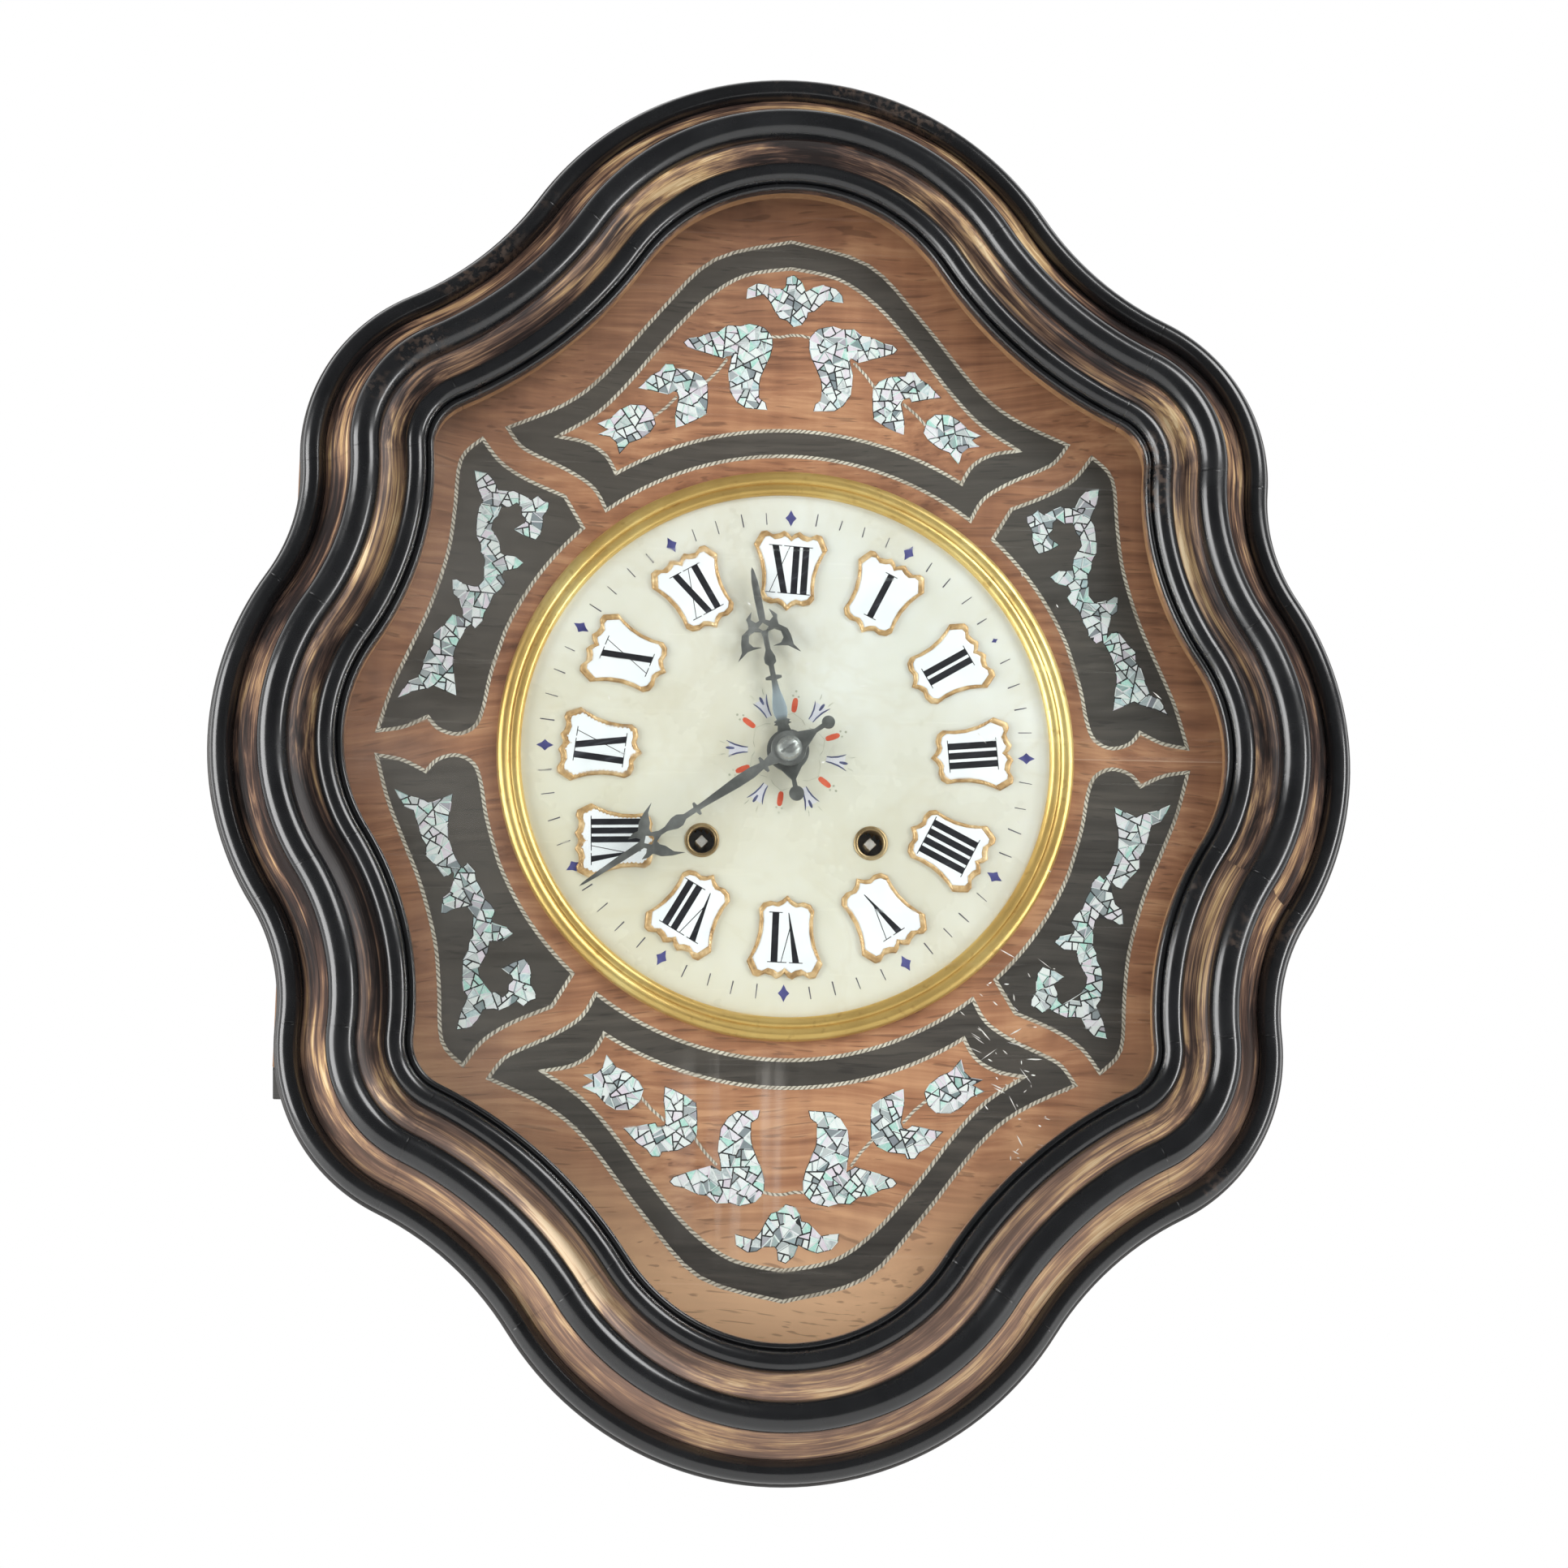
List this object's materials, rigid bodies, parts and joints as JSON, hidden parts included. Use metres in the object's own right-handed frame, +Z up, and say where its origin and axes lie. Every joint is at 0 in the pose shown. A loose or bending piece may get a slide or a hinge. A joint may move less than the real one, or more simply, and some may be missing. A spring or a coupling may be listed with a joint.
{
  "type": "bulls-eye clock",
  "caption": "Lobed bulls-eye wall clock with a glazed moulded door, marquetry panel, round dial with enamel numeral plaques, pierced hands and a striking pendulum movement.",
  "frame": {"origin": "centre of the dial, on the wall plane at the back of the case", "axes": "+Z up, -Y out of the wall to the front, +X to the right seen from the front"},
  "size_m": [0.5138, 0.134, 0.64],
  "materials": {
    "case_wood": "satin black stain",
    "pine": "bare softwood",
    "veneer": "polished burr veneer",
    "ebony_field": "polished ebonised veneer",
    "gilt_wood": "worn gilt bronze paint",
    "ebonised": "glossy ebonised wood",
    "glass": "clear, lightly scratched",
    "brass": "polished",
    "gilt_metal": "worn gilt pressing",
    "enamel": "glossy white with painted numerals",
    "alabaster": "polished, veined",
    "blued_steel": "dark blued",
    "steel": "plain",
    "screw_steel": "plain, a little dull",
    "pendulum_brass": "polished"
  },
  "bodies": {
    "case": {"back_board": "pine", "case_top": "case_wood", "case_bottom": "case_wood", "case_left": "case_wood", "case_right": "case_wood", "case_front": "case_wood", "panel_board": "case_wood", "marquetry_panel": "veneer", "inlay_fields": "ebony_field", "bezel": "brass", "dial_plate": "alabaster", "dial_grommets": "brass", "plaque_frames": "gilt_metal", "plaque_enamels": "enamel", "hinge_stile": "case_wood", "case_hinge_leaves": "brass", "case_screws": "screw_steel", "hanging_plate": "brass", "movement_straps": "brass", "front_plate": "brass", "back_plate": "brass", "back_cock": "brass", "suspension_spring": "steel", "gong_coil": "steel"},
    "door": {"frame_base": "gilt_wood", "outer_rail": "ebonised", "middle_rail": "ebonised", "inner_rail": "ebonised", "door_glass": "glass", "glass_beads": "gilt_wood", "door_hinge_leaves": "brass", "door_screws": "screw_steel", "latch_bracket": "brass"},
    "latch_hook": {"latch_hook": "brass"},
    "minute_hand": {"minute_hand": "blued_steel", "cannon_pinion": "brass", "hand_nut": "steel"},
    "hour_hand": {"hour_hand": "blued_steel", "hour_wheel": "brass"},
    "minute_wheel": {"minute_wheel": "brass"},
    "going_barrel": {"going_barrel": "brass", "going_mainspring": "steel"},
    "going_second_wheel": {"going_second_wheel": "brass"},
    "centre_wheel": {"centre_wheel": "brass"},
    "third_wheel": {"third_wheel": "brass"},
    "escape_wheel": {"escape_wheel": "brass"},
    "going_arbor": {"going_arbor": "steel"},
    "going_click": {"going_click": "steel"},
    "strike_barrel": {"strike_barrel": "brass", "strike_mainspring": "steel"},
    "strike_second_wheel": {"strike_second_wheel": "brass"},
    "pin_wheel": {"pin_wheel": "brass"},
    "warning_wheel": {"warning_wheel": "brass"},
    "fly": {"fly": "brass"},
    "strike_arbor": {"strike_arbor": "steel"},
    "strike_click": {"strike_click": "steel"},
    "anchor": {"anchor": "steel"},
    "pendulum": {"pendulum": "pendulum_brass"},
    "hammer": {"hammer": "steel"}
  },
  "joints": [
    {"name": "door_swing", "type": "hinge", "parent": "case", "child": "door", "pos_m": [0.232, -0.096, 0], "axis": [0, 0, 1], "range_deg": [0, 100]},
    {"name": "latch_turn", "type": "hinge", "parent": "case", "child": "latch_hook", "pos_m": [-0.23169, -0.07, 0], "axis": [1, 0, 0], "range_deg": [0, 90]},
    {"name": "minute_turn", "type": "hinge", "parent": "case", "child": "minute_hand", "pos_m": [0, -0.0989, 0], "axis": [0, 1, 0], "continuous": true},
    {"name": "hour_turn", "type": "hinge", "parent": "case", "child": "hour_hand", "pos_m": [0, -0.0989, 0], "axis": [0, 1, 0], "continuous": true},
    {"name": "minute_wheel_turn", "type": "hinge", "parent": "case", "child": "minute_wheel", "pos_m": [0, -0.0754, 0.0192], "axis": [0, 1, 0], "continuous": true},
    {"name": "centre_turn", "type": "hinge", "parent": "case", "child": "centre_wheel", "pos_m": [0, -0.0494, 0], "axis": [0, 1, 0], "continuous": true},
    {"name": "going_barrel_turn", "type": "hinge", "parent": "case", "child": "going_barrel", "pos_m": [0.038, -0.0494, -0.041], "axis": [0, 1, 0], "continuous": true},
    {"name": "going_second_turn", "type": "hinge", "parent": "case", "child": "going_second_wheel", "pos_m": [0.02227, -0.0494, -0.00895], "axis": [0, 1, 0], "continuous": true},
    {"name": "third_turn", "type": "hinge", "parent": "case", "child": "third_wheel", "pos_m": [-0.01024, -0.0494, 0.01773], "axis": [0, 1, 0], "continuous": true},
    {"name": "escape_turn", "type": "hinge", "parent": "case", "child": "escape_wheel", "pos_m": [0, -0.0494, 0.03546], "axis": [0, 1, 0], "continuous": true},
    {"name": "going_wind", "type": "hinge", "parent": "case", "child": "going_arbor", "pos_m": [0.038, -0.0494, -0.041], "axis": [0, 1, 0], "range_deg": [0, 1440]},
    {"name": "going_click_lift", "type": "hinge", "parent": "case", "child": "going_click", "pos_m": [0.0508, -0.0717, -0.031], "axis": [0, -1, 0], "range_deg": [0, 12]},
    {"name": "pin_wheel_turn", "type": "hinge", "parent": "case", "child": "pin_wheel", "pos_m": [-0.0349, -0.0494, 0.01775], "axis": [0, 1, 0], "continuous": true},
    {"name": "strike_barrel_turn", "type": "hinge", "parent": "case", "child": "strike_barrel", "pos_m": [-0.038, -0.0494, -0.041], "axis": [0, 1, 0], "continuous": true},
    {"name": "strike_second_turn", "type": "hinge", "parent": "case", "child": "strike_second_wheel", "pos_m": [-0.04111, -0.0494, -0.00544], "axis": [0, 1, 0], "continuous": true},
    {"name": "warning_turn", "type": "hinge", "parent": "case", "child": "warning_wheel", "pos_m": [-0.0285, -0.0494, 0.03532], "axis": [0, 1, 0], "continuous": true},
    {"name": "fly_turn", "type": "hinge", "parent": "case", "child": "fly", "pos_m": [-0.02475, -0.0494, 0.04932], "axis": [0, 1, 0], "continuous": true},
    {"name": "strike_wind", "type": "hinge", "parent": "case", "child": "strike_arbor", "pos_m": [-0.038, -0.0494, -0.041], "axis": [0, 1, 0], "range_deg": [0, 1440]},
    {"name": "strike_click_lift", "type": "hinge", "parent": "case", "child": "strike_click", "pos_m": [-0.0508, -0.0717, -0.031], "axis": [0, 1, 0], "range_deg": [0, 12]},
    {"name": "pendulum_swing", "type": "hinge", "parent": "case", "child": "pendulum", "pos_m": [0, -0.0218, 0.06], "axis": [0, 1, 0], "range_deg": [-3, 3]},
    {"name": "anchor_rock", "type": "hinge", "parent": "case", "child": "anchor", "pos_m": [0, -0.0494, 0.06], "axis": [0, 1, 0], "range_deg": [-3, 3]},
    {"name": "hammer_lift", "type": "hinge", "parent": "case", "child": "hammer", "pos_m": [-0.06, -0.0494, 0.015], "axis": [0, 1, 0], "range_deg": [0, 12]}
  ],
  "couplings": [
    {"joint": "hour_turn", "follows": "minute_turn", "ratio": 0.083333},
    {"joint": "minute_wheel_turn", "follows": "minute_turn", "ratio": -0.33333},
    {"joint": "going_barrel_turn", "follows": "centre_turn", "ratio": 0.019048},
    {"joint": "going_second_turn", "follows": "centre_turn", "ratio": -0.14286},
    {"joint": "third_turn", "follows": "centre_turn", "ratio": -12},
    {"joint": "escape_turn", "follows": "centre_turn", "ratio": 144},
    {"joint": "strike_barrel_turn", "follows": "pin_wheel_turn", "ratio": 0.019048},
    {"joint": "strike_second_turn", "follows": "pin_wheel_turn", "ratio": -0.14286},
    {"joint": "warning_turn", "follows": "pin_wheel_turn", "ratio": -7.5},
    {"joint": "fly_turn", "follows": "pin_wheel_turn", "ratio": 46.875},
    {"joint": "anchor_rock", "follows": "pendulum_swing", "ratio": 1}
  ]
}
